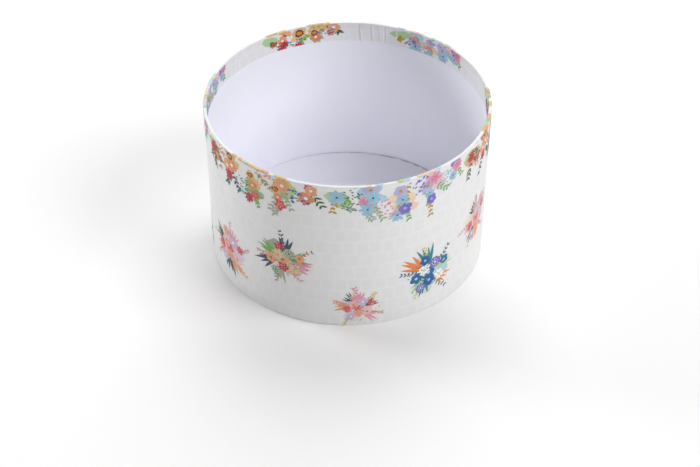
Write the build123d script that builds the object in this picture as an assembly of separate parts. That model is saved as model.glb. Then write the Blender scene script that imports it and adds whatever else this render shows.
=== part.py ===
from build123d import *
import math
import os

# A round paper-covered hat box, standing open, and its lift-off lid lying on the
# surface beside it. All sizes in mm, +Z up, origin at the centre of the box's foot.

# ---- the box
BOX_RADIUS = 125.0          # outside of the covering paper
BOX_HEIGHT = 153.4          # foot to the top of the rim
WALL_BOARD = 2.0            # grey board of the wall
BASE_BOARD = 2.0            # grey board disc of the base
PAPER = 0.3                 # printed covering paper with its paste
LINING = 0.6                # lining card
TURN_IN = 22.0              # covering paper turned down inside the rim
TURN_UNDER = 13.0           # covering paper turned under the foot
LINING_LAP = 3.0            # how far a lining covers the turned-in paper
FOOT_MARGIN = 3.0           # bare ring between the bottom paper and the wall face

# ---- the lid
LID_CLEARANCE = 1.2         # gap all round between the lid's lining and the box
LID_HEIGHT = 38.1
LID_RIM_BOARD = 1.5
LID_TOP_BOARD = 2.0
LID_TURN_IN = 19.0
LID_BESIDE = 540.0          # from the box's axis across to the lid's axis

# ---- board joints, closed with gummed tape pressed into the board
JOINT_GAP = 0.4
JOINT_TAPE_WIDTH = 30.0
EDGE_TAPE_WIDTH = 12.0
TAPE = 0.25
SEAM_LAP = 22.0             # overlap of the covering paper's two ends
SEAM_ANGLE = 79.0           # joints and seams face the back, a little right of centre

os.makedirs("parts", exist_ok=True)


def disc(radius, bottom, top):
    """A flat round plate between two heights."""
    plate = Cylinder(radius, top - bottom, align=(Align.CENTER, Align.CENTER, Align.MIN))
    return Pos(0, 0, bottom) * plate


def ring(inner, outer, bottom, top):
    """A plain round band between two radii and two heights."""
    return disc(outer, bottom, top) - disc(inner, bottom - 1, top + 1)


def arc_band(inner, outer, bottom, top, width, angle=SEAM_ANGLE):
    """The part of a round band within a straight width, centred on an angle."""
    reach = outer + 5
    cutter = Box(reach, width, top - bottom, align=(Align.MIN, Align.CENTER, Align.MIN))
    return ring(inner, outer, bottom, top) & (Rot(0, 0, angle) * Pos(0, 0, bottom) * cutter)


def revolve_section(points):
    """A closed section of (radius, height) corners turned about the vertical axis."""
    face = make_face(Polyline([(r, 0, z) for r, z in points], close=True).edges())
    return revolve(face, Axis.Z)


# ---- radii and heights that the layers share
wrap_inside = BOX_RADIUS - PAPER                    # outer face of the wall board
wall_inside = wrap_inside - WALL_BOARD              # inner face of the wall board
turn_inside = wall_inside - PAPER                   # inner face of the turned-in paper
lining_inside = wall_inside - LINING                # inner face of the wall lining
board_foot = 2 * PAPER                              # the wall and base boards start here
board_rim = BOX_HEIGHT - PAPER
base_top = board_foot + BASE_BOARD
floor_top = base_top + LINING
turn_in_edge = BOX_HEIGHT - TURN_IN
under_inside = BOX_RADIUS - TURN_UNDER
tape_face = wrap_inside - TAPE


def make_wall_board():
    """Grey board rolled to a tube; its ends meet at the back under a gummed tape."""
    tube = ring(wall_inside, wrap_inside, board_foot, board_rim)
    gap = arc_band(wall_inside - 1, wrap_inside + 1, board_foot - 1, board_rim + 1, JOINT_GAP)
    joint_recess = arc_band(tape_face, wrap_inside + 1, board_foot - 1, board_rim + 1,
                            JOINT_TAPE_WIDTH)
    return tube - gap - joint_recess


def make_wall_joint_tape():
    """Gummed tape over the wall board's upright joint, flush in the board."""
    return arc_band(tape_face, wrap_inside, board_foot, board_rim, JOINT_TAPE_WIDTH)


def make_base_board():
    """Grey board disc glued inside the foot of the wall."""
    return disc(wall_inside, board_foot, base_top)


def make_outer_wrap():
    """Printed paper: round the wall, over the rim and down inside, and under the foot."""
    section = [
        (under_inside, PAPER),
        (BOX_RADIUS, PAPER),
        (BOX_RADIUS, BOX_HEIGHT),
        (turn_inside, BOX_HEIGHT),
        (turn_inside, turn_in_edge),
        (wall_inside, turn_in_edge),
        (wall_inside, board_rim),
        (wrap_inside, board_rim),
        (wrap_inside, board_foot),
        (under_inside, board_foot),
    ]
    lap = arc_band(BOX_RADIUS - PAPER / 2, BOX_RADIUS + PAPER, board_foot, board_rim, SEAM_LAP)
    return revolve_section(section) + lap


def make_wall_lining():
    """Plain lining card up the inside, pared at its top where it covers the turn-in."""
    section = [
        (lining_inside, base_top),
        (wall_inside, base_top),
        (wall_inside, turn_in_edge),
        (turn_inside, turn_in_edge),
        (turn_inside, turn_in_edge + LINING_LAP),
        (lining_inside, turn_in_edge + LINING_LAP),
    ]
    return revolve_section(section)


def make_floor_lining():
    """Plain lining disc on the base board."""
    return disc(lining_inside, base_top, floor_top)


def make_bottom_paper():
    """Bottom paper that covers the raw edge of the turned-under wrap; the box stands on it."""
    section = [
        (0, 0),
        (BOX_RADIUS - FOOT_MARGIN, 0),
        (BOX_RADIUS - FOOT_MARGIN, PAPER),
        (under_inside, PAPER),
        (under_inside, board_foot),
        (0, board_foot),
    ]
    return revolve_section(section)


# ---- the lid's layers, about its own axis; it stands on its rim
lid_lining_inside = BOX_RADIUS + LID_CLEARANCE
lid_board_inside = lid_lining_inside + LINING
lid_board_outside = lid_board_inside + LID_RIM_BOARD
lid_radius = lid_board_outside + PAPER
lid_turn_inside = lid_board_inside - PAPER
lid_board_top = LID_HEIGHT - PAPER
lid_board_under = lid_board_top - LID_TOP_BOARD
lid_lining_under = lid_board_under - LINING
lid_tape_face = lid_board_outside - TAPE


def make_lid_rim_board():
    """Grey board band of the lid's rim, its ends meeting at the back."""
    band = ring(lid_board_inside, lid_board_outside, PAPER, lid_board_under)
    gap = arc_band(lid_board_inside - 1, lid_board_outside + 1, 0, LID_HEIGHT, JOINT_GAP)
    joint_recess = arc_band(lid_tape_face, lid_board_outside + 1, 0, LID_HEIGHT,
                            JOINT_TAPE_WIDTH)
    edge_recess = ring(lid_tape_face, lid_board_outside + 1,
                       lid_board_top - EDGE_TAPE_WIDTH, LID_HEIGHT)
    return band - gap - joint_recess - edge_recess


def make_lid_joint_tape():
    """Gummed tape over the rim board's upright joint, below the edge tape."""
    return arc_band(lid_tape_face, lid_board_outside, PAPER,
                    lid_board_top - EDGE_TAPE_WIDTH, JOINT_TAPE_WIDTH)


def make_lid_top_board():
    """Grey board disc that lies on the rim board."""
    plate = disc(lid_board_outside, lid_board_under, lid_board_top)
    return plate - ring(lid_tape_face, lid_board_outside + 1, 0, LID_HEIGHT)


def make_lid_edge_tape():
    """Gummed tape round the corner, which holds the top board to the rim board."""
    return ring(lid_tape_face, lid_board_outside, lid_board_top - EDGE_TAPE_WIDTH,
                lid_board_top)


def make_lid_rim_wrap():
    """Printed paper round the rim, under its edge and up inside."""
    section = [
        (lid_turn_inside, 0),
        (lid_radius, 0),
        (lid_radius, LID_HEIGHT),
        (lid_board_outside, LID_HEIGHT),
        (lid_board_outside, PAPER),
        (lid_board_inside, PAPER),
        (lid_board_inside, LID_TURN_IN),
        (lid_turn_inside, LID_TURN_IN),
    ]
    lap = arc_band(lid_radius - PAPER / 2, lid_radius + PAPER, 0, LID_HEIGHT, SEAM_LAP)
    return revolve_section(section) + lap


def make_lid_top_paper():
    """Printed paper disc on the lid's top board."""
    return disc(lid_board_outside, lid_board_top, LID_HEIGHT)


def make_lid_rim_lining():
    """Plain lining card inside the rim, pared where it covers the turned-in paper."""
    section = [
        (lid_lining_inside, LID_TURN_IN - LINING_LAP),
        (lid_turn_inside, LID_TURN_IN - LINING_LAP),
        (lid_turn_inside, LID_TURN_IN),
        (lid_board_inside, LID_TURN_IN),
        (lid_board_inside, lid_board_under),
        (lid_lining_inside, lid_board_under),
    ]
    return revolve_section(section)


def make_lid_top_lining():
    """Plain lining disc under the lid's top board."""
    return disc(lid_lining_inside, lid_lining_under, lid_board_under)


box_nodes = {
    "outer_wrap": make_outer_wrap(),
    "wall_board": make_wall_board(),
    "wall_joint_tape": make_wall_joint_tape(),
    "base_board": make_base_board(),
    "wall_lining": make_wall_lining(),
    "floor_lining": make_floor_lining(),
    "bottom_paper": make_bottom_paper(),
}

lid_nodes = {
    "lid_rim_wrap": make_lid_rim_wrap(),
    "lid_top_paper": make_lid_top_paper(),
    "lid_rim_board": make_lid_rim_board(),
    "lid_joint_tape": make_lid_joint_tape(),
    "lid_top_board": make_lid_top_board(),
    "lid_edge_tape": make_lid_edge_tape(),
    "lid_rim_lining": make_lid_rim_lining(),
    "lid_top_lining": make_lid_top_lining(),
}

for name, solid in box_nodes.items():
    export_step(solid, f"parts/{name}.step")

for name, solid in lid_nodes.items():
    export_step(Pos(LID_BESIDE, 0, 0) * solid, f"parts/{name}.step")
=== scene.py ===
import math

import bpy
import numpy as np
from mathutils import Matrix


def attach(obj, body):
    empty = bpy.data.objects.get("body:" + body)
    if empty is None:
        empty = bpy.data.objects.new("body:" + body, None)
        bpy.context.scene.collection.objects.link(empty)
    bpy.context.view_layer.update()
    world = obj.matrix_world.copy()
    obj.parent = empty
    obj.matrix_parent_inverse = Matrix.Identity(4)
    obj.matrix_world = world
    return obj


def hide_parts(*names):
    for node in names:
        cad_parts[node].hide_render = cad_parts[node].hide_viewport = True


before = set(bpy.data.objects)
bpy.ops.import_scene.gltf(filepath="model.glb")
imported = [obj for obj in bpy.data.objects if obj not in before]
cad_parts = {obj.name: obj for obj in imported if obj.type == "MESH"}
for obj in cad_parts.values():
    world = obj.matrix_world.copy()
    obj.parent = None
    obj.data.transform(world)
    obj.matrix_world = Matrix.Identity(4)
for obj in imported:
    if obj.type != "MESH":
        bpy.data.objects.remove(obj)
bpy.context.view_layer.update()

mm = 0.001
print("frame loaded:", len(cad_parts), "nodes")


def linear(code):
    # sRGB hex to linear light: c / 12.92 in the dark, else ((c + 0.055) / 1.055) ** 2.4
    c = np.array([int(code[i:i + 2], 16) / 255 for i in (1, 3, 5)])
    return tuple(np.where(c <= 0.04045, c / 12.92, ((c + 0.055) / 1.055) ** 2.4)) + (1.0,)


def addNode(tree, kind, settings=None, links=None):
    # one node: its fixed settings by property or socket name, and what feeds its sockets
    node = tree.nodes.new(kind)
    for name, value in (settings or {}).items():
        if isinstance(name, str) and hasattr(node, name):
            setattr(node, name, value)
        else:
            node.inputs[name].default_value = value
    for name, socket in (links or {}).items():
        tree.links.new(socket, node.inputs[name])
    return node


def newMaterial(name):
    material = bpy.data.materials.new(name)
    material.use_nodes = True
    tree = material.node_tree
    tree.nodes.clear()
    return material, tree


def closeMaterial(tree, shader, normal=None):
    if normal is not None:
        tree.links.new(normal, shader.inputs["Normal"])
    addNode(tree, "ShaderNodeOutputMaterial", links={"Surface": shader.outputs["BSDF"]})


def gridFaces(rows, cols, roundRows=False, roundCols=False):
    # the quads of a rows x cols grid, wound so that (d/dcol) x (d/drow) points out
    r = np.arange(rows if roundRows else rows - 1)[:, None]
    c = np.arange(cols if roundCols else cols - 1)[None, :]
    nextR, nextC = (r + 1) % rows, (c + 1) % cols
    corners = [r * cols + c, r * cols + nextC, nextR * cols + nextC, nextR * cols + c]
    return np.stack(corners, -1).reshape(-1, 4)


def cornerPairs(rowValues, colValues):
    # the (row value, column value) pair at each corner of gridFaces;
    # one more value than rows or columns where the grid closes
    pair = np.stack(np.meshgrid(rowValues, colValues, indexing="ij"), -1)
    return np.stack([pair[:-1, :-1], pair[:-1, 1:], pair[1:, 1:], pair[1:, :-1]], 2).reshape(-1, 4, 2)


def closePoles(faces, cols, lastToo=False):
    # the first column of a grid closed round its rows becomes one point, and the last if asked;
    # a face left with three corners ends in -1
    col = faces % cols
    faces = np.where(col == 0, 0, faces)
    atFirst = (col == 0).any(1)
    faces[atFirst, 3] = -1
    if lastToo:
        faces = np.where((col == cols - 1) & (faces >= 0), cols - 1, faces)
        atLast = (col == cols - 1).any(1)
        faces[atLast, 2] = faces[atLast, 3]
        faces[atLast, 3] = -1
    return faces


def buildMesh(name, points, faces, uv=None, tints=None, smooth=True):
    # points (n, 3) in metres, faces (m, 4) with -1 last in a triangle; uv per corner, tints per point
    used, faces = np.unique(faces, return_inverse=True)
    faces = faces.reshape(-1, 4)
    if used[0] < 0:
        used, faces = used[1:], faces - 1
    points = points[used]
    real = faces >= 0
    sizes = real.sum(1)
    mesh = bpy.data.meshes.new(name)
    mesh.vertices.add(len(points))
    mesh.vertices.foreach_set("co", np.ascontiguousarray(points, np.float32).ravel())
    mesh.loops.add(int(sizes.sum()))
    mesh.loops.foreach_set("vertex_index", faces[real].astype(np.int32))
    mesh.polygons.add(len(faces))
    mesh.polygons.foreach_set("loop_start", (np.cumsum(sizes) - sizes).astype(np.int32))
    if uv is not None:
        layer = mesh.uv_layers.new(name="paper")
        layer.data.foreach_set("uv", np.ascontiguousarray(uv[real], np.float32).ravel())
    if tints is not None:
        ink = mesh.color_attributes.new("ink", "FLOAT_COLOR", "POINT")
        ink.data.foreach_set("color", np.ascontiguousarray(tints[used], np.float32).ravel())
    mesh.update(calc_edges=True)
    mesh.validate()
    mesh.shade_smooth() if smooth else mesh.shade_flat()
    piece = bpy.data.objects.new(name, mesh)
    bpy.context.scene.collection.objects.link(piece)
    return piece


def finishPiece(piece, body, material, replaced=()):
    piece.data.materials.clear()
    piece.data.materials.append(material)
    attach(piece, body)
    if replaced:
        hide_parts(*replaced)
    return piece


cameraPlace = {
    "back": 1.0445,      # m in front of the box's axis
    "height": 0.8817,    # m above the surface
    "pitch": 40.18,      # degrees below the horizon
    "lens": 75.1,        # mm on a 36 mm sensor
    "shift": 0.0035,
}


def makeCamera():
    data = bpy.data.cameras.new("viewCamera")
    data.lens = cameraPlace["lens"]
    data.sensor_width = 36
    data.shift_x = cameraPlace["shift"]
    data.clip_start = 0.05
    data.clip_end = 50
    camera = bpy.data.objects.new("viewCamera", data)
    bpy.context.scene.collection.objects.link(camera)
    camera.location = (0, -cameraPlace["back"], cameraPlace["height"])
    camera.rotation_euler = (math.radians(90 - cameraPlace["pitch"]), 0, 0)
    bpy.context.scene.camera = camera


studio = {
    "floorRadius": 2.1,    # m
    "floorSides": 96,
    "floorColour": "#FDFDFD",
    "floorRoughness": 0.9,
    "world": 0.06,         # light from the room itself
    "backdrop": 1.0,       # how white the room looks
    "aim": (0.0, 0.0, 0.08),
    # place in m, size in m, watts
    "keyRight": ((2.9, -1.3, 2.6), 2.4, 91.0),
    "fillFront": ((0.0, -2.7, 2.4), 2.4, 22.0),
    "rimLeft": ((-2.2, 0.9, 0.8), 0.8, 27.0),
    "overBack": ((0.3, 2.2, 2.6), 3.0, 88.0),
}


def makeLight(name, place, size, watts):
    data = bpy.data.lights.new(name, "AREA")
    data.shape = "SQUARE"
    data.size = size
    data.energy = watts
    lamp = bpy.data.objects.new(name, data)
    bpy.context.scene.collection.objects.link(lamp)
    lamp.location = place
    away = np.array(place) - np.array(studio["aim"])
    flat = math.hypot(away[0], away[1])
    lamp.rotation_euler = (math.atan2(flat, away[2]), 0, math.atan2(away[1], away[0]) + math.pi / 2)


def makeStudio():
    for name in ("keyRight", "fillFront", "rimLeft", "overBack"):
        makeLight(name, *studio[name])
    world = bpy.data.worlds.new("softRoom")
    bpy.context.scene.world = world
    world.use_nodes = True
    tree = world.node_tree
    tree.nodes.clear()
    # a dim room for the light, and a plain white backdrop where it is looked at past the floor's edge
    white = (1, 1, 1, 1)
    room = addNode(tree, "ShaderNodeBackground", {"Color": white, "Strength": studio["world"]})
    backdrop = addNode(tree, "ShaderNodeBackground", {"Color": white, "Strength": studio["backdrop"]})
    seen = addNode(tree, "ShaderNodeLightPath").outputs["Is Camera Ray"]
    both = addNode(tree, "ShaderNodeMixShader",
                   links={0: seen, 1: room.outputs[0], 2: backdrop.outputs[0]})
    addNode(tree, "ShaderNodeOutputWorld", links={"Surface": both.outputs[0]})
    bpy.context.scene.view_settings.view_transform = "Standard"
    # the floor is a plain pale round sheet, matt: points r * (cos a, sin a)
    sides = studio["floorSides"]
    a = np.linspace(0, 2 * math.pi, sides, endpoint=False)[:, None]
    r = studio["floorRadius"] * np.array([[0.0, 1.0]])
    points = np.stack([r * np.cos(a), r * np.sin(a), 0 * r * a], -1).reshape(-1, 3)
    faces = closePoles(gridFaces(sides, 2, roundRows=True), 2)
    floor = buildMesh("studioFloor", points, faces, smooth=False)
    material, tree = newMaterial("paintedStudioFloor")
    shader = addNode(tree, "ShaderNodeBsdfPrincipled",
                     {"Base Color": linear(studio["floorColour"]), "Roughness": studio["floorRoughness"]})
    closeMaterial(tree, shader)
    floor.data.materials.append(material)


makeCamera()
makeStudio()
print("camera, floor and light made")


def matPaperBump(tree, toothHeight, cockleHeight):
    # fine tooth of the sheet over slow cockling; both on Object coordinates in metres
    place = addNode(tree, "ShaderNodeTexCoord").outputs["Object"]
    # real paper tooth is near 0.1 mm, drawn at 0.7 mm so that it shows
    tooth = addNode(tree, "ShaderNodeTexNoise", {"Scale": 1 / (0.7 * mm), "Detail": 3.0, "Roughness": 0.6},
                    {"Vector": place})
    cockle = addNode(tree, "ShaderNodeTexNoise", {"Scale": 1 / (26 * mm), "Detail": 2.0, "Roughness": 0.45},
                     {"Vector": place})
    slow = addNode(tree, "ShaderNodeBump", {"Strength": 1.0, "Distance": cockleHeight},
                   {"Height": cockle.outputs[0]})
    fine = addNode(tree, "ShaderNodeBump", {"Strength": 1.0, "Distance": toothHeight},
                   {"Height": tooth.outputs[0], "Normal": slow.outputs["Normal"]})
    return place, tooth, fine.outputs["Normal"]


coveringPaper = {
    "ground": "#F1F1F2",
    "dab": "#EBEBEB",
    "dabPale": "#EEEEED",
    "dabWidth": 11.3,     # mm, pitch along the row
    "dabHeight": 13.6,    # mm, pitch of the rows
    "gap": 4.2,           # mm, soft from edge to edge
    "rowShift": 0.42,     # of a dab's pitch, from row to row
    "wanderEvery": 6.6667,  # mm
    "wander": 5.0,        # mm for the noise's whole swing, of which about a fifth shows
    "thinnest": 0.55,     # how far the ink fades out in its streaks
    "roughness": 0.5,
}


def makeCoveringPaper():
    # matt-laminated offset-printed paper: rows of pale hand-brushed dabs on white,
    # with a faint sheen from the lamination
    d = coveringPaper
    material, tree = newMaterial("mattLaminatedPrintedPaper")
    _, tooth, normal = matPaperBump(tree, 0.03 * mm, 0.5 * mm)
    sheet = addNode(tree, "ShaderNodeUVMap", {"uv_map": "paper"}).outputs["UV"]
    # the dabs' edges wander by about 1 mm, as a loaded flat brush leaves them
    wander = addNode(tree, "ShaderNodeTexNoise", {"Scale": 1 / (d["wanderEvery"] * mm), "Detail": 2.0},
                     {"Vector": sheet})
    centred = addNode(tree, "ShaderNodeVectorMath", {"operation": "SUBTRACT", 1: (0.5, 0.5, 0.5)},
                      {0: wander.outputs["Color"]})
    small = addNode(tree, "ShaderNodeVectorMath", {"operation": "SCALE", "Scale": d["wander"] * mm},
                    {0: centred.outputs["Vector"]})
    moved = addNode(tree, "ShaderNodeVectorMath", {"operation": "ADD"},
                    {0: sheet, 1: small.outputs["Vector"]})
    dabs = addNode(tree, "ShaderNodeTexBrick",
                   {"Scale": 1.0, "Color1": linear(d["dab"]), "Color2": linear(d["dabPale"]),
                    "Mortar": linear(d["ground"]), "Mortar Size": d["gap"] / 2 * mm, "Mortar Smooth": 1.0,
                    "Brick Width": d["dabWidth"] * mm, "Row Height": d["dabHeight"] * mm,
                    "offset": d["rowShift"]},
                   {"Vector": moved.outputs["Vector"]})
    # ink laid thinner in streaks along the brush
    streakPlace = addNode(tree, "ShaderNodeMapping", {"Scale": (90.0, 520.0, 1.0)}, {"Vector": sheet})
    streak = addNode(tree, "ShaderNodeTexNoise", {"Scale": 1.0, "Detail": 3.0},
                     {"Vector": streakPlace.outputs["Vector"]})
    thin = addNode(tree, "ShaderNodeMapRange",
                   {"From Min": 0.35, "From Max": 0.75, "To Min": 0.0, "To Max": d["thinnest"]},
                   {"Value": streak.outputs[0]})
    mixed = addNode(tree, "ShaderNodeMix", {"data_type": "RGBA"},
                    {0: thin.outputs[0], 6: dabs.outputs["Color"]})
    mixed.inputs[7].default_value = linear(d["ground"])
    rough = addNode(tree, "ShaderNodeMapRange",
                    {"To Min": d["roughness"] - 0.06, "To Max": d["roughness"] + 0.1},
                    {"Value": tooth.outputs[0]})
    shader = addNode(tree, "ShaderNodeBsdfPrincipled", {"IOR": 1.49, "Specular IOR Level": 0.4},
                     {"Base Color": mixed.outputs[2], "Roughness": rough.outputs[0]})
    closeMaterial(tree, shader, normal)
    return material


lining = {"card": "#F4F4FC", "cloud": "#F6F6FD", "fibre": "#EEEDF7", "roughness": 0.72}


def makeLiningCard():
    # uncoated lavender-white card: soft, no gloss, very faint clouding and pressed fibres
    material, tree = newMaterial("uncoatedLiningCard")
    place, tooth, normal = matPaperBump(tree, 0.02 * mm, 0.9 * mm)
    cloud = addNode(tree, "ShaderNodeTexNoise", {"Scale": 1 / (14 * mm), "Detail": 4.0}, {"Vector": place})
    base = addNode(tree, "ShaderNodeMix", {"data_type": "RGBA"}, {0: cloud.outputs[0]})
    base.inputs[6].default_value = linear(lining["card"])
    base.inputs[7].default_value = linear(lining["cloud"])
    fibreMask = addNode(tree, "ShaderNodeMapRange",
                        {"From Min": 0.62, "From Max": 0.74, "To Min": 0.0, "To Max": 0.5},
                        {"Value": tooth.outputs[0]})
    colour = addNode(tree, "ShaderNodeMix", {"data_type": "RGBA"},
                     {0: fibreMask.outputs[0], 6: base.outputs[2]})
    colour.inputs[7].default_value = linear(lining["fibre"])
    rough = addNode(tree, "ShaderNodeMapRange",
                    {"To Min": lining["roughness"], "To Max": lining["roughness"] + 0.14},
                    {"Value": cloud.outputs[0]})
    shader = addNode(tree, "ShaderNodeBsdfPrincipled", {"IOR": 1.47, "Specular IOR Level": 0.25},
                     {"Base Color": colour.outputs[2], "Roughness": rough.outputs[0]})
    closeMaterial(tree, shader, normal)
    return material


greyBoard = {"pulp": "#8E867B", "fleck": "#6C645B", "fleckSize": 1.6, "roughness": 0.9}


def makeGreyBoard():
    # recycled grey board: pressed pulp with darker flecks, quite rough
    material, tree = newMaterial("pressedGreyBoard")
    place, _, normal = matPaperBump(tree, 0.08 * mm, 0.4 * mm)
    fleck = addNode(tree, "ShaderNodeTexVoronoi", {"Scale": 1 / (greyBoard["fleckSize"] * mm)},
                    {"Vector": place})
    mask = addNode(tree, "ShaderNodeMapRange",
                   {"From Min": 0.12, "From Max": 0.3, "To Min": 0.7, "To Max": 0.0},
                   {"Value": fleck.outputs["Distance"]})
    colour = addNode(tree, "ShaderNodeMix", {"data_type": "RGBA"}, {0: mask.outputs[0]})
    colour.inputs[6].default_value = linear(greyBoard["pulp"])
    colour.inputs[7].default_value = linear(greyBoard["fleck"])
    shader = addNode(tree, "ShaderNodeBsdfPrincipled",
                     {"IOR": 1.47, "Specular IOR Level": 0.2, "Roughness": greyBoard["roughness"]},
                     {"Base Color": colour.outputs[2]})
    closeMaterial(tree, shader, normal)
    return material


gummedTape = {"dark": "#9A7650", "pale": "#BC9870", "roughness": 0.6}


def makeGummedTape():
    # brown kraft tape, wetted and rubbed down: long fibres one way, a little shine
    material, tree = newMaterial("gummedKraftTape")
    place, _, normal = matPaperBump(tree, 0.04 * mm, 0.3 * mm)
    # fibres near 1.7 mm apart and 11 mm long
    along = addNode(tree, "ShaderNodeMapping", {"Scale": (600.0, 600.0, 90.0)}, {"Vector": place})
    fibre = addNode(tree, "ShaderNodeTexNoise", {"Scale": 1.0, "Detail": 4.0},
                    {"Vector": along.outputs["Vector"]})
    colour = addNode(tree, "ShaderNodeMix", {"data_type": "RGBA"}, {0: fibre.outputs[0]})
    colour.inputs[6].default_value = linear(gummedTape["dark"])
    colour.inputs[7].default_value = linear(gummedTape["pale"])
    shader = addNode(tree, "ShaderNodeBsdfPrincipled", {"IOR": 1.5, "Roughness": gummedTape["roughness"]},
                     {"Base Color": colour.outputs[2]})
    closeMaterial(tree, shader, normal)
    return material


printInk = {"grain": 2.2, "lay": 0.07, "roughness": 0.5}    # grain in mm, lay as a share of the tint


def makePrintInk():
    # gouache-like offset ink, a solid tint per shape with a slightly uneven lay,
    # under the same matt lamination
    material, tree = newMaterial("offsetPrintInk")
    place, _, normal = matPaperBump(tree, 0.03 * mm, 0.5 * mm)
    tint = addNode(tree, "ShaderNodeAttribute", {"attribute_name": "ink"})
    lay = addNode(tree, "ShaderNodeTexNoise",
                  {"Scale": 1 / (printInk["grain"] * mm), "Detail": 4.0, "Roughness": 0.6}, {"Vector": place})
    uneven = addNode(tree, "ShaderNodeMapRange",
                     {"From Min": 0.3, "From Max": 0.7,
                      "To Min": 1 - printInk["lay"], "To Max": 1 + printInk["lay"]},
                     {"Value": lay.outputs[0]})
    colour = addNode(tree, "ShaderNodeVectorMath", {"operation": "SCALE"},
                     {0: tint.outputs["Color"], "Scale": uneven.outputs[0]})
    shader = addNode(tree, "ShaderNodeBsdfPrincipled",
                     {"IOR": 1.49, "Specular IOR Level": 0.4, "Roughness": printInk["roughness"]},
                     {"Base Color": colour.outputs["Vector"]})
    closeMaterial(tree, shader, normal)
    return material


paperMaterial = makeCoveringPaper()
liningMaterial = makeLiningCard()
boardMaterial = makeGreyBoard()
tapeMaterial = makeGummedTape()
inkMaterial = makePrintInk()

for nodeName, material in (("wall_board", boardMaterial), ("base_board", boardMaterial),
                           ("wall_joint_tape", tapeMaterial), ("lid_rim_board", boardMaterial),
                           ("lid_top_board", boardMaterial), ("lid_joint_tape", tapeMaterial),
                           ("lid_edge_tape", tapeMaterial)):
    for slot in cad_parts[nodeName].material_slots:
        slot.material = material
print("materials made")


def arcPoints(centreR, centreZ, radius, start, end, count):
    # points of a corner: centre + radius * (cos a, sin a), a from start to end degrees
    a = np.radians(np.linspace(start, end, count))
    return np.stack([centreR + radius * np.cos(a), centreZ + radius * np.sin(a)], 1)


def linePoints(r0, z0, r1, z1, count):
    t = np.linspace(0, 1, count)[:, None]
    return np.array([[r0, z0]]) * (1 - t) + np.array([[r1, z1]]) * t


def joinPaths(*paths):
    # one path out of several, without the doubled points where they meet
    path = np.concatenate(paths)
    step = np.hypot(*np.diff(path, axis=0).T)
    return path[np.concatenate([[True], step > 1e-6])]


def pathNormals(path):
    # outward normal (dz, -dr) of a path walked foot -> rim -> inside
    tangent = np.gradient(path, axis=0)
    tangent /= np.hypot(*tangent.T)[:, None]
    return np.stack([tangent[:, 1], -tangent[:, 0]], 1)


def pathLength(path):
    return np.concatenate([[0], np.cumsum(np.hypot(*np.diff(path, axis=0).T))])


def hump(x, centre, width):
    # exp(-((x - centre) / width)^2), a soft ridge
    return np.exp(-((x - centre) / width) ** 2)


def aroundSamples(count, girth, marks, spread):
    # places round the girth in mm: an even grid and closer ones at each mark
    even = np.linspace(-girth / 2, girth / 2, count, endpoint=False)
    close = (np.array(marks)[:, None] + np.array(spread)[None, :]).ravel()
    close = (close + girth / 2) % girth - girth / 2
    u = np.unique(np.round(np.concatenate([even, close]), 3))
    return u[np.concatenate([[True], np.diff(u) > 0.02])]


def turned(u, r, z, radius, centreX=0.0):
    # u mm round the front-facing circle of this radius, r and z mm -> metres; u = 0 faces -Y
    a = u / radius - math.pi / 2
    x, y, z = np.broadcast_arrays(r * np.cos(a) * mm + centreX, r * np.sin(a) * mm, z * mm)
    return np.stack([x, y, z], -1)


def sheetPiece(name, u, frontS, backS, place, thick, wholeTurn):
    # a folded sheet carried right round: its face along frontS, its back along backS one thickness in,
    # joined at both edges; uv is (u, s) in metres, so the dabs keep their size
    front = place(u[:, None], frontS[None, :], 0.0)
    back = place(u[:, None], backS[None, :], -thick)
    points = np.concatenate([front, back], axis=1)
    rows, cols = points.shape[:2]
    uv = cornerPairs(np.append(u, u[0] + wholeTurn), np.concatenate([frontS, backS, frontS[:1]])) * mm
    return buildMesh(name, points.reshape(-1, 3), gridFaces(rows, cols, True, True), uv)


def ringPiece(name, u, r, z, radius, centreX=0.0):
    # a closed section (r, z per place round the ring) carried right round; r, z are (around, section)
    points = turned(u[:, None], r, z, radius, centreX)
    faces = gridFaces(*z.shape, True, True)
    return buildMesh(name, points.reshape(-1, 3), faces[:, ::-1])


def discPiece(name, radiusAt, topAt, underAt, rings, count, centreX=0.0):
    # a round sheet: out from the top's centre on rings t * R(a), over the edge and back in underneath
    a = np.linspace(0, 2 * math.pi, count, endpoint=False)[:, None]
    # the last ring but one lies close to the edge, so that the top shades flat right up to it
    t = np.append(0.997 * np.linspace(0, 1, rings - 1) ** 0.8, 1.0)[None, :]
    r = radiusAt(a) * t
    z = np.concatenate([topAt(a, r), underAt(a, r)[:, ::-1]], 1)
    r = np.concatenate([r, r[:, ::-1]], 1)
    flat = np.stack([r * np.cos(a), r * np.sin(a)], -1) * mm
    points = np.concatenate([flat + np.array([centreX, 0.0]), z[..., None] * mm], -1).reshape(-1, 3)
    faces = closePoles(gridFaces(count, 2 * rings, roundRows=True), 2 * rings, lastToo=True)
    return buildMesh(name, points, faces, flat.reshape(-1, 2)[faces])


wrap = {
    "radius": 125.0, "height": 153.4, "sheet": 0.3, "wall": 2.6,
    "underEdge": 112.0, "turnIn": 22.0, "foot": 0.3,
    "footRound": 0.8, "rimRound": 0.6,
    "seam": 368.7, "lap": 22.0,
    "creases": (-338.0, -301.0, -268.0, -236.0, -196.0, -150.0, -84.0, -22.0, 41.0, 96.0, 171.0,
                208.0, 244.0, 281.0, 322.0, 345.0, 355.5, 362.0, 369.5, 381.0),
    "creaseWidth": 0.55,    # mm, half width of a crease at 1/e of its height
    "creaseHeight": (0.16, 0.22, 0.3, 0.2, 0.25, 0.2, 0.2, 0.25, 0.2, 0.25, 0.2,
                     0.25, 0.2, 0.3, 0.25, 0.4, 0.6, 0.3, 0.55, 0.5),
}
girth = 2 * math.pi * wrap["radius"]
turnedInFace = wrap["radius"] - wrap["wall"]


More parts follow.
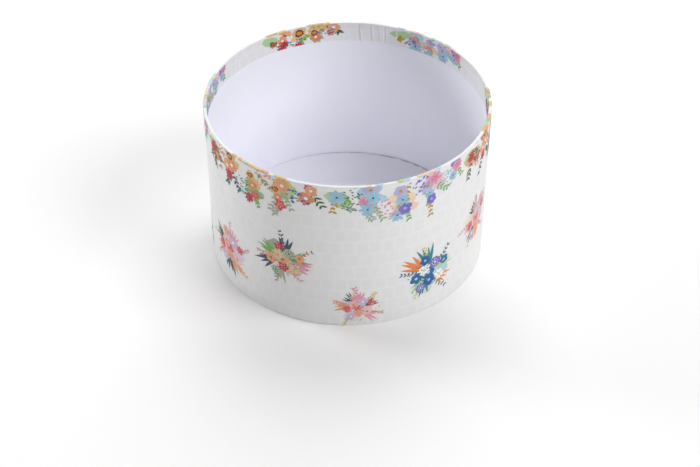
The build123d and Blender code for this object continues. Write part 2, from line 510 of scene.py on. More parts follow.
def wrapOuterPath():
    # under the foot, round its edge, up the wall, over the rim and down inside
    w = wrap
    fr, rr = w["footRound"], w["rimRound"]
    return joinPaths(
        linePoints(w["underEdge"], w["foot"], w["radius"] - fr, w["foot"], 4),
        arcPoints(w["radius"] - fr, w["foot"] + fr, fr, -90, 0, 5),
        linePoints(w["radius"], w["foot"] + fr, w["radius"], w["height"] - rr, 30),
        arcPoints(w["radius"] - rr, w["height"] - rr, rr, 0, 90, 5),
        arcPoints(turnedInFace + rr, w["height"] - rr, rr, 90, 180, 5),
        linePoints(turnedInFace, w["height"] - rr, turnedInFace, w["height"] - w["turnIn"], 12))


wrapPath = wrapOuterPath()
wrapNormal = pathNormals(wrapPath)
wrapAlong = pathLength(wrapPath)
# s is counted so that on the wall it is the height above the surface
wrapAlong += wrap["foot"] + wrap["footRound"] - wrapAlong[np.argmax(wrapPath[:, 0] >= wrap["radius"] - 1e-6)]
turnStart = float(wrapAlong[np.argmax(wrapPath[:, 1]):][np.argmax(
    wrapPath[np.argmax(wrapPath[:, 1]):, 0] <= turnedInFace + 1e-6)])


def wrapRelief(u, s):
    # how far the paper stands off its plain section, mm: slow cockles, the lap at the seam, and on the
    # turned-in band upright creases where the paper had to gather, which die out at the rim
    a = u / wrap["radius"]
    slow = 0.035 * np.sin(7 * a + 1.3 * np.sin(s / 31.0)) + 0.03 * np.sin(17 * a + s / 19.0)
    fromSeam = np.abs((u - wrap["seam"] + girth / 2) % girth - girth / 2)
    lap = 0.3 * np.clip((wrap["lap"] / 2 - fromSeam) / 0.25 + 0.5, 0, 1)
    inside = np.clip((s - turnStart) / 5.0, 0, 1)
    crease = np.zeros(np.broadcast(u, s).shape)
    for centre, height in zip(wrap["creases"], wrap["creaseHeight"]):
        lean = centre + 0.09 * (s - turnStart) * np.sin(centre)
        away = (u - lean + girth / 2) % girth - girth / 2
        # each crease is a sharp ridge with a shallow valley beside it
        crease = crease + height * (hump(away, 0, wrap["creaseWidth"]) - 0.4 * hump(away, 1.6, 1.1))
    foot = np.clip((s - 2.0) / 6.0, 0, 1)
    underLining = np.clip((wrapAlong[-1] - 3.0 - s) / 3.0, 0.3, 1)
    return slow * foot * np.clip(1 - inside * 0.5, 0, 1) + lap + crease * inside * underLining


def onWrap(u, s, lift=0.0):
    # a point u mm round and s mm along the covering paper, lift mm proud of it
    s = np.clip(s, wrapAlong[0], wrapAlong[-1])
    nr = np.interp(s, wrapAlong, wrapNormal[:, 0])
    nz = np.interp(s, wrapAlong, wrapNormal[:, 1])
    size = np.hypot(nr, nz)
    out = (wrapRelief(u, s) + lift) / size
    return turned(u, np.interp(s, wrapAlong, wrapPath[:, 0]) + out * nr,
                  np.interp(s, wrapAlong, wrapPath[:, 1]) + out * nz, wrap["radius"])


def makeOuterWrap():
    near = [-2.7, -1.6, -0.9, -0.45, 0.0, 0.45, 0.9, 1.6]
    edges = [wrap["seam"] - wrap["lap"] / 2, wrap["seam"] + wrap["lap"] / 2]
    u = np.union1d(aroundSamples(380, girth, wrap["creases"], near),
                   aroundSamples(380, girth, edges, [-0.15, 0.15]))
    u = u[np.concatenate([[True], np.diff(u) > 0.02])]
    rimZone = wrapAlong[wrapPath[:, 1] > wrap["height"] - 1.2]
    backS = np.union1d(np.linspace(wrapAlong[0], wrapAlong[-1], 34), rimZone)[::-1]
    piece = sheetPiece("outerWrap", u, wrapAlong, backS, onWrap, wrap["sheet"] * 0.98, girth)
    return finishPiece(piece, "box", paperMaterial, ("outer_wrap",))


makeOuterWrap()
print("covering paper made")


liningSheet = {"inside": 122.1, "bottom": 2.6, "lapOver": 3.0, "seam": 12.0, "lap": 12.0}


def makeWallLining():
    # a band of card: face, top edge rolled by its own thickness, back; the hand-cut top wanders a few tenths
    d = liningSheet
    u = aroundSamples(300, girth, [d["seam"] - d["lap"] / 2, d["seam"] + d["lap"] / 2], [-0.2, 0.2])[:, None]
    t = np.insert(np.linspace(0, 1, 22), 1, 0.004)[None, :]
    under = wrap["height"] - wrap["turnIn"] + 0 * u
    top = under + d["lapOver"] + 0.25 * np.sin(u / 41.0) + 0.12 * np.sin(u / 13.0)
    bow = 0.05 * np.sin(u / 11.0) * np.sin(t * math.pi)
    lap = 0.25 * (np.abs(u - d["seam"]) < d["lap"] / 2)
    zFace = d["bottom"] + (top - d["bottom"] - 0.15) * t
    rFace = d["inside"] - 0.06 - lap - bow
    back = turnedInFace - 0.02 + 0 * u
    z = np.concatenate([zFace, top - 0.03, top, top - 0.05, under, 0 * u + d["bottom"]], 1)
    r = np.concatenate([rFace, rFace[:, -1:] + 0.05, rFace[:, -1:] + 0.16, back, back, back], 1)
    piece = ringPiece("wallLining", u[:, 0], r, z, wrap["radius"])
    return finishPiece(piece, "box", liningMaterial, ("wall_lining",))


floorSheet = {"bottom": 2.6, "thick": 0.6, "radius": 122.02, "short": 1.3, "waves": 0.05}


def makeFloorLining():
    # the disc is cut by hand a little small and lies in slow waves, so a broken hairline gap shows round it
    d = floorSheet

    def edge(a):
        broken = np.abs(np.sin(23 * a + 2 * np.sin(7 * a))) ** 0.7
        return d["radius"] - d["short"] * np.clip(np.sin(a + 0.6), 0.1, 1) ** 2 * broken

    def top(a, r):
        return d["bottom"] + d["thick"] + d["waves"] * np.cos(2 * a + 0.5) * (r / d["radius"]) ** 2

    piece = discPiece("floorLining", edge, top, lambda a, r: d["bottom"] + 0 * r, 14, 360)
    return finishPiece(piece, "box", liningMaterial, ("floor_lining",))


footSheet = {"radius": 122.0, "thick": 0.3, "ridge": 0.1, "ridgeFrom": 111.0, "ridges": 24}


def makeBottomPaper():
    # the notched, turned-under paper presses through the bottom paper as a ring of low ridges
    d = footSheet

    def under(a, r):
        ring = np.clip((r - d["ridgeFrom"]) / 1.5, 0, 1)
        return d["ridge"] * (1 - ring * np.abs(np.sin(d["ridges"] * a + 0.7 * np.sin(5 * a))) ** 6)

    piece = discPiece("bottomPaper", lambda a: d["radius"] + 0.3 * np.sin(5 * a),
                      lambda a, r: d["thick"] - 0.02 + 0 * r, under, 26, 360)
    return finishPiece(piece, "box", liningMaterial, ("bottom_paper",))


makeWallLining()
makeFloorLining()
makeBottomPaper()
print("box lining made")


lid = {
    "centreX": 0.54, "radius": 128.6, "height": 38.1, "sheet": 0.3, "rimBoard": 1.5,
    "turnIn": 19.0, "edgeRound": 0.6, "topEdgeRound": 0.25,
    "liningInside": 126.2, "liningUnder": 35.2, "liningThick": 0.6, "liningDisc": 126.0,
    "liningLap": (200.0, 206.0),     # mm round the lid, from and to
    "topDip": 0.25, "topFlatTo": 118.0, "topDropFrom": 127.6,
    "seam": 379.0, "lap": 22.0, "creaseHeight": 0.22, "creaseWidth": 0.6,
    "creases": (-352.0, -290.0, -221.0, -160.0, -97.0, -31.0, 44.0, 103.0, 168.0, 236.0, 301.0, 366.0, 372.0),
}
lidGirth = 2 * math.pi * lid["radius"]
lidTurnFace = lid["radius"] - 2 * lid["sheet"] - lid["rimBoard"]


def lidOuterPath():
    # down inside from the turned-in edge, round the lid's lower edge and up the outside
    d = lid
    er, tr = d["edgeRound"], d["topEdgeRound"]
    return joinPaths(
        linePoints(lidTurnFace, d["turnIn"], lidTurnFace, er, 8),
        arcPoints(lidTurnFace + er, er, er, 180, 270, 5),
        arcPoints(d["radius"] - er, er, er, -90, 0, 5),
        linePoints(d["radius"], er, d["radius"], d["height"] - tr, 14),
        arcPoints(d["radius"] - tr, d["height"] - tr, tr, 0, 60, 3))


lidPath = lidOuterPath()
lidNormal = pathNormals(lidPath)
lidAlong = pathLength(lidPath)
lidAlong += lid["edgeRound"] - lidAlong[np.argmax(lidPath[:, 0] >= lid["radius"] - 1e-6)]


def onLidRim(u, s, lift=0.0):
    # a point u mm round and s mm up the lid's rim paper; below zero s runs up the inside
    s = np.clip(s, lidAlong[0], lidAlong[-1])
    a = u / lid["radius"]
    slow = 0.03 * np.sin(9 * a + 0.8) + 0.02 * np.sin(21 * a + s / 9.0)
    fromSeam = np.abs((u - lid["seam"] + lidGirth / 2) % lidGirth - lidGirth / 2)
    lap = 0.3 * np.clip((lid["lap"] / 2 - fromSeam) / 0.25 + 0.5, 0, 1)
    inside = np.clip((-s - 2.0) / 4.0, 0, 1)
    crease = sum(hump((u - c - 0.1 * s + lidGirth / 2) % lidGirth - lidGirth / 2, 0, lid["creaseWidth"])
                 for c in lid["creases"]) * lid["creaseHeight"]
    nr, nz = np.interp(s, lidAlong, lidNormal[:, 0]), np.interp(s, lidAlong, lidNormal[:, 1])
    # everything dies out at the fold, so that the lid stands flat on its edge
    relief = (slow * np.clip((np.abs(s) - 2.4) / 4.0, 0, 1) + lap * np.clip((s - 1.2) / 0.8, 0, 1)
              + crease * inside)
    out = (relief + lift) / np.hypot(nr, nz)
    return turned(u, np.interp(s, lidAlong, lidPath[:, 0]) + out * nr,
                  np.interp(s, lidAlong, lidPath[:, 1]) + out * nz, lid["radius"], lid["centreX"])


def onLidTop(x, y, lift=0.0):
    # a point of the lid's top paper, x and y mm from its axis; the middle dips by dip * (1 - (r / flatTo)^2),
    # slow waves lie over it and the last millimetre turns down by the sheet's thickness
    r = np.hypot(x, y)
    dip = lid["topDip"] * (1 - np.clip(r / lid["topFlatTo"], 0, 1) ** 2)
    z = lid["height"] - dip + 0.04 * np.sin(x / 13.0 + np.sin(y / 19.0))
    z = z - lid["sheet"] * np.clip((r - lid["topDropFrom"]) / 0.7, 0, 1) ** 2 + lift
    return np.stack([x * mm + lid["centreX"], y * mm, z * mm + 0 * x], -1)


def makeLid():
    d = lid
    near = [-1.4, -0.7, -0.35, 0.0, 0.35, 0.7, 1.4]
    edges = [d["seam"] - d["lap"] / 2, d["seam"] + d["lap"] / 2]
    u = np.union1d(aroundSamples(380, lidGirth, d["creases"], near),
                   aroundSamples(380, lidGirth, edges, [-0.15, 0.15]))
    u = u[np.concatenate([[True], np.diff(u) > 0.02])]
    backS = np.union1d(np.linspace(lidAlong[0], lidAlong[-1], 18), lidAlong[lidPath[:, 1] < 1.2])[::-1]
    piece = sheetPiece("lidRimWrap", u, lidAlong, backS, onLidRim, d["sheet"] * 0.98, lidGirth)
    finishPiece(piece, "lid", paperMaterial, ("lid_rim_wrap",))

    def topAt(lift):
        return lambda a, r: onLidTop(r * np.cos(a), r * np.sin(a), lift)[..., 2] / mm

    piece = discPiece("lidTopPaper", lambda a: d["radius"] - d["sheet"] + 0.04 * np.sin(9 * a), topAt(0.0),
                      topAt(-0.28), 40, 360, d["centreX"])
    finishPiece(piece, "lid", paperMaterial, ("lid_top_paper",))

    piece = discPiece("lidTopLining", lambda a: d["liningDisc"] - 0.2 * np.abs(np.sin(6 * a)),
                      lambda a, r: d["liningUnder"] + d["liningThick"] - 0.02 + 0 * r,
                      lambda a, r: d["liningUnder"] + 0 * r, 14, 240, d["centreX"])
    finishPiece(piece, "lid", liningMaterial, ("lid_top_lining",))

    # the rim's lining: face, pared lower edge, back
    lapFrom, lapTo = d["liningLap"]
    u = aroundSamples(240, lidGirth, [lapFrom, lapTo], [-0.2, 0.2])[:, None]
    t = np.linspace(0, 1, 10)[None, :]
    low = d["turnIn"] - 3.0 + 0.2 * np.sin(u / 37.0)
    high = d["liningUnder"] + 0.4 + 0 * u
    lap = 0.25 * ((u > lapFrom) & (u < lapTo))
    face = d["liningInside"] - lap - 0.04 * np.sin(u / 9.0) ** 2 + 0 * t
    back = lidTurnFace - 0.02 + 0 * u
    r = np.concatenate([face, back, back, face[:, :1] + 0.12], 1)
    z = np.concatenate([low + (high - low) * t, high, d["turnIn"] - 2.6 + 0 * u, low - 0.1], 1)
    piece = ringPiece("lidRimLining", u[:, 0], r, z, d["radius"], d["centreX"])
    finishPiece(piece, "lid", liningMaterial, ("lid_rim_lining",))


makeLid()
print("lid made")


inkColour = {
    "peach": "#E9A77C", "deepPeach": "#DD9468", "gold": "#E0C084", "maroon": "#7A2337",
    "amber": "#D8952A", "coral": "#D9544F", "red": "#C93A45", "orange": "#E98A4B", "leaf": "#7DB55A",
    "paleLeaf": "#B5D39B", "sage": "#A3BFA3", "greyGreen": "#A9B79C", "darkLeaf": "#4E6B43",
    "slate": "#3E5366", "teal": "#2F8C93", "deepTeal": "#0E6068", "sky": "#9CC6DE",
    "paleBlue": "#B9D6EA", "navy": "#1E3F73", "royal": "#2B5C9E", "violet": "#7C72C4",
    "lavender": "#B9B5DC", "lilac": "#CDBBD9", "magenta": "#B9489E", "rose": "#E39AAE",
    "pink": "#E9A5B5", "palePink": "#F0C7CC", "beige": "#E4CDA8", "palePeach": "#EED2B8",
    "mustard": "#C89A2B", "olive": "#8A8A2A", "lime": "#C5D27A", "white": "#F6F6F4",
    "cream": "#ECE2D4", "blush": "#F1DDE0", "paleLilac": "#DDD3E4",
    "softGreen": "#D3E2CB", "deepBlue": "#2A6F9B", "softCoral": "#DB6C6E", "softBrown": "#B58476",
    "salmon": "#E7A89C",
}
inkLay = {
    "lift": 0.06,        # mm off the paper; the lamination hides the step, the gap keeps the skins apart
    "layer": 0.035,      # mm more for each layer printed over another
    "order": 0.0004,     # mm more for each later shape, so that no two lie in one plane
    "piece": 3.2,        # mm, longest side of an ink facet, so that it follows the round wall
    "tintSpread": 0.045,
}
rng = np.random.default_rng(71)


def pen():
    # a fresh sheet of shapes: flat points (n, 2), faces, tints and layers, kept as lists of arrays
    return {"points": [], "faces": [], "tints": [], "layer": [], "count": 0}


def addShapes(sheet, points, faces, colour, layer, shade=None):
    # points (n, m, 2) are n like shapes of m points, faces their shared faces
    n, m = points.shape[:2]
    tint = np.array(linear(inkColour[colour]))[None, None, :] * np.ones((n, m, 1))
    tint[..., :3] *= 1 + inkLay["tintSpread"] * rng.standard_normal((n, 1, 1))
    if shade is not None:
        tint[..., :3] *= shade[..., None]
    base = sheet["count"] + m * np.arange(n)[:, None, None]
    sheet["points"].append(points.reshape(-1, 2))
    sheet["faces"].append(np.where(faces[None] < 0, -1, faces[None] + base).reshape(-1, 4))
    sheet["tints"].append(np.clip(tint, 0, 1).reshape(-1, 4))
    sheet["layer"].append(np.full(n * m, float(layer)))
    sheet["count"] += n * m


def petals(sheet, x, y, angle, length, width, colour, layer=1, bend=0.0, full=0.75, blunt=0.8,
           shade=0.1, sides=None):
    # strips from (x, y) along an angle that turns by bend; half width = width / 2 * sin(pi t^full)^blunt
    x, y, angle, length, width = np.broadcast_arrays(*np.atleast_1d(x, y, angle, length, width))
    x, y, angle, length, width = [v[:, None, None].astype(float) for v in (x, y, angle, length, width)]
    steps = int(np.clip(np.ceil(length.max() / inkLay["piece"]), 5, 14))
    sides = sides or (3 if width.max() < 2 * inkLay["piece"] else 5)
    t = np.linspace(0, 1, steps + 1)[None, :, None]
    w = np.linspace(-1, 1, sides)[None, None, :]
    half = width / 2 * np.maximum(np.sin(math.pi * t ** full), 0.02) ** blunt
    turn = angle + bend * t
    px = x + length * t * np.cos(angle + bend * t / 2) - half * w * np.sin(turn)
    py = y + length * t * np.sin(angle + bend * t / 2) + half * w * np.cos(turn)
    points = np.stack([px, py], -1).reshape(len(px), -1, 2)
    depth = (1 + shade * (t - 0.5) + 0 * w + 0 * px).reshape(len(px), -1)
    addShapes(sheet, points, gridFaces(steps + 1, sides), colour, layer, depth)


def blobs(sheet, x, y, radius, colour, layer=1, lobes=0, dent=0.0, squash=1.0, turn=0.0, rough=0.06):
    # round shapes: r = radius * (1 - dent |cos(lobes a / 2)|^1.5 + rough * slow waves),
    # pressed flat by squash and turned
    x, y, radius, turn = np.broadcast_arrays(*np.atleast_1d(x, y, radius, turn))
    x, y, radius, turn = [v[:, None, None].astype(float) for v in (x, y, radius, turn)]
    rings = int(max(1, np.ceil(radius.max() / inkLay["piece"])))
    count = int(max(10, 6 * lobes, np.ceil(2 * math.pi * radius.max() / inkLay["piece"])))
    a = np.linspace(0, 2 * math.pi, count, endpoint=False)[None, :, None]
    t = np.linspace(0, 1, rings + 1)[None, None, :]
    phase = rng.uniform(0, 2 * math.pi, x.shape)
    scallops = dent * np.abs(np.cos(lobes * a / 2)) ** 1.5 * (lobes > 0)
    edge = 1 - scallops + rough * (np.sin(2 * a + phase) + np.sin(3 * a - 2 * phase))
    rx, ry = radius * edge * t * np.cos(a), radius * edge * t * np.sin(a) * squash
    px = x + rx * np.cos(turn) - ry * np.sin(turn)
    py = y + rx * np.sin(turn) + ry * np.cos(turn)
    points = np.stack([px, py], -1).reshape(len(px), -1, 2)
    faces = closePoles(gridFaces(count, rings + 1, roundRows=True), rings + 1)
    addShapes(sheet, points, faces, colour, layer)


def ringOf(x, y, distance, angle):
    # places at a distance and angle from (x, y)
    return x + distance * np.cos(angle), y + distance * np.sin(angle)


def around(count, turn=0.0, spread=0.0):
    return turn + np.arange(count) * 2 * math.pi / count + rng.uniform(-spread, spread, count)


def blossom(sheet, x, y, size, colour, centre, count=5, layer=1, eye=0.24):
    # broad round-tipped petals that just overlap, round a small eye
    a = around(count, rng.uniform(0, 6), 0.1)
    petals(sheet, *ringOf(x, y, 0.05 * size, a), a, 0.97 * size * rng.uniform(0.88, 1.06, count),
           1.2 * size * math.tan(math.pi / max(count, 4)), colour, layer, full=1.3, blunt=0.5)
    blobs(sheet, x, y, 0.36 * size, colour, layer)
    blobs(sheet, x, y, eye * size, centre, layer + 1)


def daisy(sheet, x, y, size, colour, centre, count=9, layer=1, eye=0.13):
    # slim separate petals, blunt at the tip
    a = around(count, rng.uniform(0, 6), 0.1)
    petals(sheet, *ringOf(x, y, 0.1 * size, a), a, size * rng.uniform(0.8, 1.02, count), 0.42 * size,
           colour, layer, full=1.5, blunt=0.55, bend=0.12)
    blobs(sheet, x, y, eye * size, centre, layer + 1)


def star(sheet, x, y, size, colour, centre, layer=1):
    # five pointed petals with a pale dash down each
    a = around(5, rng.uniform(0, 6), 0.1)
    petals(sheet, x, y, a, size * rng.uniform(0.85, 1.1, 5), 0.68 * size, colour, layer, full=0.8, blunt=0.9)
    petals(sheet, *ringOf(x, y, 0.12 * size, a), a, 0.4 * size, 0.12 * size, centre, layer + 1)


def poppy(sheet, x, y, size, colour, ring, centre="amber", layer=1):
    # a flat round flower with a dark-ringed eye
    blobs(sheet, x, y, size, colour, layer, lobes=5, dent=0.16, rough=0.03)
    blobs(sheet, x, y, 0.66 * size, ring, layer + 1, lobes=9, dent=0.16, squash=0.85)
    blobs(sheet, x, y, 0.4 * size, centre, layer + 2, squash=0.75)


def carnation(sheet, x, y, size, colour, dark, layer=1):
    # a ragged head of narrow tips with darker flecks
    a = around(13, 0, 0.2)
    blobs(sheet, x, y, 0.62 * size, colour, layer)
    petals(sheet, *ringOf(x, y, 0.25 * size, a), a, 0.8 * size * rng.uniform(0.7, 1.1, 13),
           0.34 * size, colour, layer, full=0.9)
    a = around(6, 1, 0.4)
    petals(sheet, *ringOf(x, y, 0.1 * size, a), a, 0.42 * size, 0.09 * size, dark, layer + 1)


def pompon(sheet, x, y, size, colour, centre, layer=1):
    # a round head of small scallops and a pale eye
    a = around(8, rng.uniform(0, 6))
    blobs(sheet, *ringOf(x, y, 0.62 * size, a), 0.34 * size, colour, layer, rough=0.0)
    blobs(sheet, x, y, 0.66 * size, colour, layer, rough=0.0)
    blobs(sheet, *ringOf(x, y, 0.5 * size, a + 0.4), 0.09 * size, centre, layer + 1)
    blobs(sheet, x, y, 0.17 * size, centre, layer + 1)


def sprig(sheet, x, y, length, angle, stem, leafColour, pairs=4, leafLength=3.0, leafWidth=1.2, bend=0.4,
          layer=1, tip=None):
    # a bent stem with paired leaves set along it, and a bud at each leaf's end if a tip colour is given
    petals(sheet, x, y, angle, length, 0.45, stem, layer, bend=bend, full=0.4, shade=0.0)
    t = np.repeat(np.linspace(0.18, 0.98, pairs), 2)
    side = np.tile([1.0, -1.0], pairs)
    sx = x + length * t * np.cos(angle + bend * t / 2)
    sy = y + length * t * np.sin(angle + bend * t / 2)
    lean = angle + bend * t + side * rng.uniform(0.4, 1.1, 2 * pairs)
    size = leafLength * rng.uniform(0.65, 1.25, 2 * pairs)
    petals(sheet, sx, sy, lean, 1.15 * size, 1.25 * leafWidth, leafColour, layer + 1, blunt=0.65)
    if tip:
        blobs(sheet, *ringOf(sx, sy, size, lean), 0.32 * leafLength, tip, layer + 2)


def leafFan(sheet, x, y, size, angle, colour, count=3, spread=0.9, width=0.3, layer=1, bend=0.2):
    # leaves from one foot, fanned about an angle
    a = angle + np.linspace(-spread / 2, spread / 2, count) + rng.uniform(-0.06, 0.06, count)
    petals(sheet, x, y, a, size * rng.uniform(0.8, 1.1, count), width * size, colour, layer, bend=bend,
           full=0.85)


def scatter(sheet, x, y, wide, high, count, size, colour, angle=None, layer=1):
    # small dots, or short dashes near one angle, strewn in an oval
    a, q = rng.uniform(0, 2 * math.pi, count), np.sqrt(rng.uniform(0, 1, count))
    px, py = x + wide / 2 * q * np.cos(a), y + high / 2 * q * np.sin(a)
    if angle is None:
        blobs(sheet, px, py, size * rng.uniform(0.45, 0.8, count), colour, layer, rough=0.1)
    else:
        petals(sheet, px, py, angle + rng.uniform(-0.5, 0.5, count),
               1.3 * size * rng.uniform(0.8, 1.3, count), 0.62 * size, colour, layer, full=0.9, blunt=0.6)


def wash(sheet, x, y, wide, high, colour, turn=0.0, layer=0):
    # a loose patch of colour under the flowers
    blobs(sheet, x, y, wide / 2, colour, layer, lobes=7, dent=0.1, squash=high / wide, turn=turn, rough=0.05)


def printOn(name, body, draw, place, low, high, dx=0.0, dy=0.0, turn=0.0):
    # draw a pattern about (0, 0), turn and shift it, and lay its skins on a surface;
    # what passes the surface's low or high edge is cut off there
    sheet = pen()
    draw(sheet)
    flat = np.concatenate(sheet["points"])
    flat = flat @ np.array([[math.cos(turn), math.sin(turn)], [-math.sin(turn), math.cos(turn)]])
    flat = flat + np.array([dx, dy])
    faces = np.concatenate(sheet["faces"])
    flat[:, 1] = np.clip(flat[:, 1], low, high)
    x, y = flat[:, 0][faces], flat[:, 1][faces]
    last = faces[:, 3] < 0
    x[last, 3], y[last, 3] = x[last, 2], y[last, 2]
    area = 0.5 * np.abs((x[:, 2] - x[:, 0]) * (y[:, 3] - y[:, 1]) - (x[:, 3] - x[:, 1]) * (y[:, 2] - y[:, 0]))
    faces, x, y = faces[area > 1e-4], x[area > 1e-4], y[area > 1e-4]
    # every face is turned to look off the paper
    spin = (x[:, 1] - x[:, 0]) * (y[:, 2] - y[:, 0]) - (x[:, 2] - x[:, 0]) * (y[:, 1] - y[:, 0])
    spin = spin + (x[:, 2] - x[:, 0]) * (y[:, 3] - y[:, 0]) - (x[:, 3] - x[:, 0]) * (y[:, 2] - y[:, 0])
    back = spin < 0
    three = back & (faces[:, 3] < 0)
    faces[back & ~three] = faces[back & ~three][:, ::-1]
    faces[three] = faces[three][:, [0, 2, 1, 3]]
    layer = np.concatenate(sheet["layer"])
    rank = np.repeat(np.arange(len(sheet["layer"])), [len(v) for v in sheet["layer"]])
    lift = inkLay["lift"] + inkLay["layer"] * layer + inkLay["order"] * rank
    points = place(flat[:, 0], flat[:, 1], lift)
    piece = buildMesh(name, points, faces, tints=np.concatenate(sheet["tints"]))
    return finishPiece(piece, body, inkMaterial)


# a plain mixed flower print laid out by rule; each look gives the colours of its patches, its flowers
# (kind, petals, eye), its leaves and the specks between them
looks = {
    "warm": {
        "pale": ("gold", "peach", "paleLeaf", "gold", "greyGreen"),
        "bloom": ((blossom, "deepPeach", "white"), (poppy, "gold", "maroon"), (carnation, "red", "maroon"),
                  (blossom, "peach", "white"), (star, "coral", "palePink")),
        "leaf": ("greyGreen", "leaf", "slate", "darkLeaf"),
        "speck": ("coral", "royal", "orange", "teal"),
    },
    "cool": {
        "pale": ("palePeach", "paleBlue", "paleLeaf", "palePink"),
        "bloom": ((daisy, "sky", "navy"), (blossom, "lavender", "mustard"), (daisy, "sky", "deepTeal"),
                  (carnation, "rose", "magenta"), (blossom, "violet", "lavender")),
        "leaf": ("leaf", "mustard", "greyGreen"),
        "speck": ("deepTeal", "sky", "violet", "rose"),
    },
    "meadow": {
        "pale": ("beige", "greyGreen", "cream"),
        "bloom": ((blossom, "peach", "olive"), (daisy, "beige", "mustard"), (star, "red", "rose"),
                  (pompon, "sage", "maroon")),
        "leaf": ("leaf", "slate", "greyGreen", "rose"),
        "speck": ("rose", "softBrown", "slate"),
    },
    "shore": {
        "pale": ("softGreen", "paleBlue", "blush"),
        "bloom": ((blossom, "deepBlue", "paleBlue"), (daisy, "white", "sky"), (blossom, "royal", "sky"),
                  (pompon, "violet", "white")),
        "leaf": ("paleLeaf", "teal", "orange"),
        "speck": ("deepBlue", "lime", "deepTeal"),
    },
    "rosy": {
        "pale": ("blush", "cream", "palePink"),
        "bloom": ((carnation, "softCoral", "coral"), (blossom, "palePink", "amber"),
                  (daisy, "salmon", "amber"), (blossom, "lilac", "white")),
        "leaf": ("pink", "deepTeal", "peach", "paleLilac"),
        "speck": ("salmon", "gold", "rose"),
    },
}
plastic = 1.3247                              # x^3 = x + 1; its powers spread places evenly over a field
goldenAngle = math.pi * (3 - math.sqrt(5))    # spreads places evenly over a disc


def pick(options, i):
    return options[i % len(options)]


def swag(sheet, wide, deep, look, flowers=16):
    # a garland hung from y = 0, its lower edge at -deep * (0.4 + 0.6 sin(pi t)) for t from end to end
    def spot(i):
        t, v = (0.5 + i / plastic) % 1, (0.5 + i / plastic ** 2) % 1
        return wide * (t - 0.5), -deep * (0.4 + 0.6 * math.sin(math.pi * t)) * v

    for i in range(flowers // 2):
        wash(sheet, *spot(i), rng.uniform(16, 28), rng.uniform(0.3, 0.5) * deep, pick(look["pale"], i),
             rng.uniform(-0.5, 0.5))
    for i in range(flowers):
        leaf = pick(look["leaf"], i)
        sprig(sheet, *spot(i + 0.3), rng.uniform(0.3, 0.5) * deep, rng.uniform(-2.4, -0.7), leaf, leaf,
              4, rng.uniform(3.0, 4.8), 1.6, 0.3, 1)
    for i in range(flowers):
        bloom, petal, eye = pick(look["bloom"], i)
        bloom(sheet, *spot(i + 0.6), rng.uniform(4.4, 7.6), petal, eye, layer=2)
    for i in range(flowers // 2):
        scatter(sheet, *spot(i + 0.8), rng.uniform(12, 22), 0.34 * deep, 14, rng.uniform(1.4, 2.2),
                pick(look["speck"], i), rng.uniform(-0.5, 0.9), 3)


def bunch(sheet, size, look, flowers=9):
    # a loose bunch: leaves and sprigs all round, flowers on a spiral that turns by the golden angle
    for i, a in enumerate(around(3, rng.uniform(0, 6), 0.4)):
        wash(sheet, *ringOf(0, 0, 0.15 * size, a), 0.55 * size, 0.42 * size, pick(look["pale"], i), a)
    for i, a in enumerate(around(6, rng.uniform(0, 6), 0.35)):
        leafFan(sheet, *ringOf(0, 0, 0.12 * size, a), rng.uniform(0.32, 0.46) * size, a,
                pick(look["leaf"], i), 4, 0.7, 0.14)
    for i, a in enumerate(around(5, rng.uniform(0, 6), 0.4)):
        sprig(sheet, *ringOf(0, 0, 0.18 * size, a), rng.uniform(0.28, 0.42) * size, a,
              pick(look["leaf"], i + 1), pick(look["speck"], i), 5, 2.8, 1.1, 0.3, 2)
    for i in range(flowers):
        bloom, petal, eye = pick(look["bloom"], i)
        bloom(sheet, *ringOf(0, 0, 0.34 * size * math.sqrt(i / flowers), goldenAngle * i),
              (0.13 - 0.005 * i) * size, petal, eye, layer=3)
    for i, a in enumerate(around(4, rng.uniform(0, 6), 0.4)):
        scatter(sheet, *ringOf(0, 0, 0.22 * size, a), 0.5 * size, 0.4 * size, 14, rng.uniform(1.2, 1.8),
                pick(look["speck"], i), rng.uniform(-0.5, 0.9), 4)


def rimEdge(sheet, wide, across, look, count=14):
    # where a swag runs on over the rim: strips along it, wide enough to reach both faces,
    # with eleven points across so that they follow the fold closely
    for i, x in enumerate(np.sort(rng.uniform(-wide / 2, wide / 2, count))):
        petals(sheet, x, 0.0, rng.uniform(-0.05, 0.05), rng.uniform(4.0, 11.0), across,
               pick(look["pale"], i), i % 3, 0.0, 1.0, 0.35, 0.0, 11)


# how far up the wall and down the turned-in band the prints reach, mm along the paper
wallLow, wallHigh = 0.9, 152.6
bandLow, bandHigh = turnStart + 0.15, float(wrapAlong[-1]) - 0.4

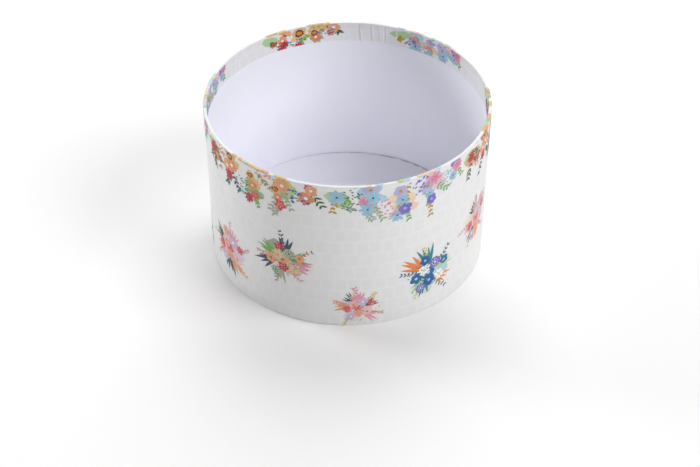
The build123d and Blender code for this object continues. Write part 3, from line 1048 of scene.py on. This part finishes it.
# each row is spaced evenly round the wall from its first place, mm from the front's middle
swags = {"count": 6, "first": -85.0, "wide": 112.0, "deep": 34.0, "overRim": 66.0, "looks": ("warm", "cool")}
bunches = {
    "count": 12, "first": -57.0, "size": (52.0, 40.0, 56.0),
    "sevenths": (3, 1, 2),    # heights, in sevenths of the wall's
    "looks": ("meadow", "rosy", "shore", "rosy"),
}
lidSwags = {"count": 6, "first": 42.0, "wide": 112.0, "deep": 27.0, "looks": ("cool", "warm")}
lidBunches = {"count": 5, "size": 58.0, "distance": 84.0, "middleSize": 52.0, "looks": ("warm", "cool", "rosy")}


def makeBoxPrints():
    d = swags
    overRim = 1.15 * (bandLow - wallHigh)
    for i in range(d["count"]):
        x, look = d["first"] + girth * i / d["count"], looks[pick(d["looks"], i)]
        printOn(f"wallSwag{i}", "box", lambda sheet: swag(sheet, d["wide"], d["deep"], look),
                onWrap, wallLow, wallHigh, x, wallHigh)
        # the same swag goes on over the rim and a little way down the turned-in band
        printOn(f"rimSwag{i}", "box", lambda sheet: rimEdge(sheet, d["overRim"], overRim, look),
                onWrap, wallHigh, bandLow, x, (wallHigh + bandLow) / 2)
        printOn(f"bandSwag{i}", "box", lambda sheet: swag(sheet, d["overRim"], bandHigh - bandLow, look, 9),
                onWrap, bandLow, bandHigh, x, bandLow, math.pi)
    d = bunches
    for i in range(d["count"]):
        size, look = pick(d["size"], i), looks[pick(d["looks"], i)]
        printOn(f"wallBunch{i}", "box", lambda sheet: bunch(sheet, size, look), onWrap, wallLow, wallHigh,
                d["first"] + girth * i / d["count"], pick(d["sevenths"], i) * wrap["height"] / 7)


def makeLidPrints():
    d = lidSwags
    top = lid["height"] - 0.6
    for i in range(d["count"]):
        look = looks[pick(d["looks"], i)]
        printOn(f"lidRimSwag{i}", "lid", lambda sheet: swag(sheet, d["wide"], d["deep"], look), onLidRim,
                wallLow, top, d["first"] + lidGirth * i / d["count"], top)
    # bunches in a ring on the top, and one in its middle
    d = lidBunches
    reach = lid["radius"] - 4.0
    printOn("lidTopMiddle", "lid", lambda sheet: bunch(sheet, d["middleSize"], looks["meadow"]), onLidTop,
            -reach, reach)
    for i, a in enumerate(np.arange(d["count"]) * 2 * math.pi / d["count"]):
        look = looks[pick(d["looks"], i)]
        dx, dy = ringOf(0.0, 0.0, d["distance"], a)
        printOn(f"lidTopBunch{i}", "lid", lambda sheet: bunch(sheet, d["size"], look), onLidTop,
                -reach, reach, dx, dy)


makeBoxPrints()
print("box prints made")
makeLidPrints()
print("lid prints made")
